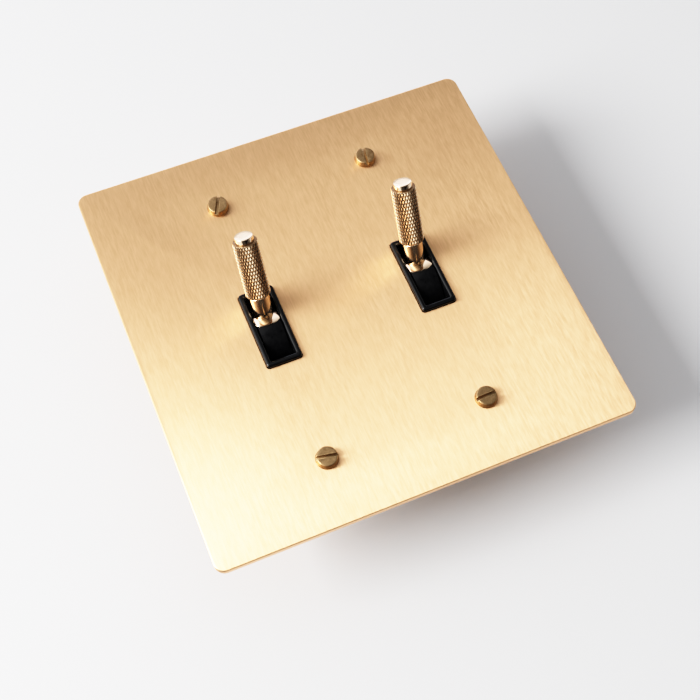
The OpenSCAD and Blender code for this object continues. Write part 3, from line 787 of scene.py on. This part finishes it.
def spring():
    """Round wire: end coils close together, active coils between."""
    z0, z1, radius, wire = -7.76, -2.14, 0.9, 0.2      # wire is its radius
    turns, steps_per_turn, wire_sides = 8.0, 28, 10
    end_turns, end_rise = 0.8, 0.30
    steps = int(turns*steps_per_turn)
    path = []
    for i in range(steps + 1):
        turn = i/steps*turns
        active = max(0, min(1, (turn - end_turns)/(turns - 2*end_turns)))
        z = (z0 + wire + end_rise*min(1, turn) + (z1 - z0 - 2*wire - 2*end_rise)*active
             + end_rise*max(0, min(1, turn - (turns - 1))))
        angle = 2*math.pi*turn
        path.append(Vector((radius*math.cos(angle), radius*math.sin(angle), z)))
    rings = []
    for i, point in enumerate(path):
        along = (path[min(i + 1, steps)] - path[max(i - 1, 0)]).normalized()
        out = Vector((point.x, point.y, 0)).normalized()
        up = along.cross(out).normalized()
        angles = [2*math.pi*j/wire_sides for j in range(wire_sides)]
        rings.append([tuple(point + wire*(math.cos(a)*out + math.sin(a)*up)) for a in angles])
    obj = solid("spring", *skin(rings))
    smooth(obj, 60)
    return obj

# CAD name, maker, piece name, slot, whether it takes the lever's spin
LEVER_PIECES = [
    ("toggle_drum", drum, "drum_shell", "black_satin", False),
    ("lever_washer", washer, "washer_disc", "polished_brass", False),
    ("lever_stem", stem, "stem_turned", "polished_brass", True),
    ("lever_cap", cap, "cap_turned", "polished_brass", True),
    ("stem_insert", insert, "insert_bush", "contact_brass", False),
    ("lever_grip", grip, "knurled_sleeve", "knurled_brass", True),
    ("plunger_spring", spring, "spring_coil", "spring_steel", False),
]
SPIN = {"left": 3.0, "right": 11.0}     # degrees about the lever
for cad_name, make, piece, slot, spins in LEVER_PIECES:
    pattern = make()
    for side, side_name in SIDES:
        obj = copy_of(pattern, f"{side_name}_{piece}")
        spin = math.radians(SPIN[side_name] if spins else 0)
        obj.matrix_world = lever_matrix(side) @ Matrix.Rotation(spin, 4, "Z")
        hand_over(obj, side_name + "_toggle", slot, f"{side_name}_{cad_name}")
    bpy.data.objects.remove(pattern)


# ------------------------------------------------------------------ CAD pieces kept as they are

DEFAULT_BEVEL = 0.08
BEVELS = {
    "strap": 0.12, "body_front": 0.35, "body_back": 0.35, "body_screws": 0.12,
    "toggle_pin": 0.12, "plunger": 0.06, "contact_carrier": 0.15, "moving_contacts": 0.03,
    "carrier_pin": 0.1, "common_terminal": 0.1, "upper_terminal": 0.1, "lower_terminal": 0.1,
    "ground_screw": 0.1, "screw_retainers": 0.1,
}
slot_of = {part["node"]: part["material_slot"] for part in frame["record"]["subparts"]}
replaced = {"face_plate", "plate_screws"}
for _, side_name in SIDES:
    replaced |= {f"{side_name}_{key}" for key in [row[0] for row in LEVER_PIECES] + ["bezel"]}
for name, obj in frame["nodes"].items():
    if name in replaced:
        continue
    key = name.split("_", 1)[1] if name.startswith(("left_", "right_")) else name
    mesh = obj.data
    material = MATERIALS[slot_of[name]]
    if len(mesh.materials) == 0:
        mesh.materials.append(material)
    for i in range(len(mesh.materials)):
        mesh.materials[i] = material
    if "custom_normal" in mesh.attributes:
        mesh.attributes.remove(mesh.attributes["custom_normal"])
    weld = obj.modifiers.new("weld", "WELD")
    weld.merge_threshold = 2e-6
    for face in mesh.polygons:
        face.use_smooth = True
    bevel(obj, BEVELS.get(key, DEFAULT_BEVEL), segments=2, angle=35)


# ------------------------------------------------------------------ backdrop

def paper():
    material, sh = new_material("paper")
    colour = sh.mix(sh.noise(scale=6, detail=2, rough=0.5),
                    low=(0.80, 0.80, 0.805), high=(0.83, 0.83, 0.835))
    # painted shade in mirror images: for glossy rays the paper a short way below is painted near
    # black
    x, _, z = sh.separate(sh.coords())
    far = sh.times(sh.remap(z, span=(-0.12, -0.22)), sh.below(x, z))
    rays = sh.node("LightPath").outputs
    far = sh.times(far, rays["Is Glossy Ray"])
    sh.set(Base_Color=sh.mix(far, low=colour, high=(0.05, 0.048, 0.045)),
           Roughness=0.6, Specular_IOR_Level=0.2)
    # from behind, or past a first see-through layer, the paper isn't there
    geometry = sh.node("NewGeometry")
    clear = sh.node("BsdfTransparent")
    blend = sh.node("MixShader")
    any_layer = 0.5
    passed = sh.math("GREATER_THAN", rays["Transparent Depth"], any_layer)
    hidden = sh.math("MAXIMUM", geometry.outputs["Backfacing"], passed)
    for socket, value in zip(blend.inputs, (hidden, sh.surface.outputs[0], clear.outputs[0])):
        sh.feed(socket, value)
    sh.feed(sh.out.inputs[0], blend.outputs[0])
    return material

def backdrop():
    """Upright sheet behind the switch."""
    y, half = 0.0286, 3.0
    mesh = bpy.data.meshes.new("backdrop")
    corners = [(-half, y, -half), (half, y, -half), (half, y, half), (-half, y, half)]
    mesh.from_pydata(corners, [], [(0, 1, 2, 3)])
    mesh.update()
    obj = link(bpy.data.objects.new("backdrop", mesh))
    mesh.materials.append(paper())

backdrop()


# ------------------------------------------------------------------ world

# direction z, brightness
FRONT_BOX = [(-0.6, 0.12), (-0.35, 0.12), (0.0, 0.16), (0.12, 0.40), (0.22, 1.02), (0.30, 1.12),
             (0.44, 0.72), (0.55, 0.50), (0.70, 0.38), (0.82, 0.34)]
MATT_FILL = [(-1, 0.02), (-0.5, 0.13), (0.0, 0.38), (0.5, 0.47), (1, 0.46)]
AMBIENT = 0.46          # outside the front softbox
BACKGROUND = 0.80       # seen directly by the camera
CARD_DIRECTION = (0.22, -0.798, -0.561)

def studio():
    """Shiny things see softboxes and a dark gap below; matt things get an even, dimmer fill."""
    world = bpy.data.worlds.new("studio")
    bpy.context.scene.world = world
    world.use_nodes = True
    sh = Shader(world.node_tree, "OutputWorld", "Background")
    x, y, z = sh.separate(sh.node("TexCoord").outputs["Generated"])
    # broad front softbox, brightest a little above level, fading upwards and to the right
    front = sh.curve(z, FRONT_BOX)
    azimuth = sh.math("ARCTAN2", x, sh.times(y, -1.0))
    window = sh.times(sh.remap(azimuth, span=(-1.25, -0.85)),
                      sh.remap(azimuth, span=(1.15, 1.45), to=(1, 0)))
    front = sh.times(front, sh.remap(azimuth, span=(-0.60, 0.34), to=(2.40, 0.06)))
    top = sh.remap(z, span=(0.70, 0.86), to=(0, 1.15))
    left = sh.times(sh.remap(x, span=(-0.60, -0.84), to=(0, 1.9)),
                    sh.times(sh.remap(z, span=(-0.66, -0.40)),
                             sh.remap(z, span=(0.50, 0.70), to=(1, 0))))
    gap = sh.times(sh.below(x, z), sh.remap(z, span=(-0.35, -0.60)))
    shiny = sh.add(sh.times(sh.math("SUBTRACT", front, AMBIENT), window), AMBIENT)
    shiny = sh.times(shiny, sh.remap(gap, span=(0, 1), to=(1, 0.10)))
    # a small card that only the lever caps see when the levers point down
    card_x, card_y, card_z = CARD_DIRECTION
    card = sh.add(sh.times(x, card_x), sh.times(y, card_y))
    card = sh.add(card, sh.times(z, card_z))
    shiny = sh.add(shiny, sh.remap(card, span=(0.980, 0.993), to=(0, 0.55)))
    right = sh.remap(x, span=(0.45, 0.85), to=(0, 0.30))
    shiny = sh.add(sh.add(sh.add(shiny, top), left), right)
    fill = sh.curve(z, MATT_FILL)
    rays = sh.node("LightPath").outputs
    strength = sh.mix_value(rays["Is Diffuse Ray"], low=shiny, high=fill)
    colour = sh.mix(sh.remap(z, span=(0.72, 0.88)), low=(1, 1, 1), high=(0.93, 0.95, 1.12))
    sh.set(Color=colour,
           Strength=sh.mix_value(rays["Is Camera Ray"], low=strength, high=BACKGROUND))

studio()


# ------------------------------------------------------------------ lights and camera

def square_light(name, location, size, power):
    """Area light aimed at the origin."""
    light = bpy.data.lights.new(name, "AREA")
    light.energy = power
    light.shape = "RECTANGLE"
    light.size = size
    light.size_y = size
    obj = link(bpy.data.objects.new(name, light))
    obj.location = location
    obj.rotation_euler = (-Vector(location)).to_track_quat("-Z", "Y").to_euler()

square_light("key", location=(-0.88, -0.56, 0.05), size=0.50, power=12.2)
square_light("behind", location=(-0.45, 0.85, 0.55), size=0.80, power=12.0)

def camera():
    """In front of the switch, below it and to the left."""
    place = Vector((-0.06709232, -0.29595983, -0.14530068))
    right = Vector((0.92262124, -0.02294861, -0.3850239))
    up = Vector((0.33645432, -0.44021195, 0.83247338))
    back = Vector((-0.18859623, -0.89760058, -0.39842774))
    cam = bpy.data.cameras.new("cam")
    obj = link(bpy.data.objects.new("cam", cam))
    turn = Matrix((right, up, back)).transposed().to_4x4()
    obj.matrix_world = Matrix.Translation(place) @ turn
    cam.sensor_fit = "HORIZONTAL"
    cam.sensor_width = 36
    cam.lens = 61.826786
    cam.clip_start = 0.01
    cam.clip_end = 20
    bpy.context.scene.camera = obj

camera()

def film_response():
    """View curve with a gentle toe and a long shoulder."""
    white, gain, toe = 2.4, 2.9, 1.3
    stops = (0.02, 0.05, 0.1, 0.17, 0.26, 0.36, 0.5, 0.68, 0.9, 1.2, 1.6, 2.0)

    def film(x):
        return 1 - math.exp(-gain*x**toe)

    view = bpy.context.scene.view_settings
    view.view_transform = "Standard"
    view.look = "None"
    view.use_curve_mapping = True
    mapping = view.curve_mapping
    mapping.black_level = (0, 0, 0)
    mapping.white_level = (white, white, white)
    points = mapping.curves[3].points
    points[0].location = (0, 0)
    points[1].location = (1, film(white))
    for x in stops:
        points.new(x/white, film(x))
    mapping.update()

film_response()
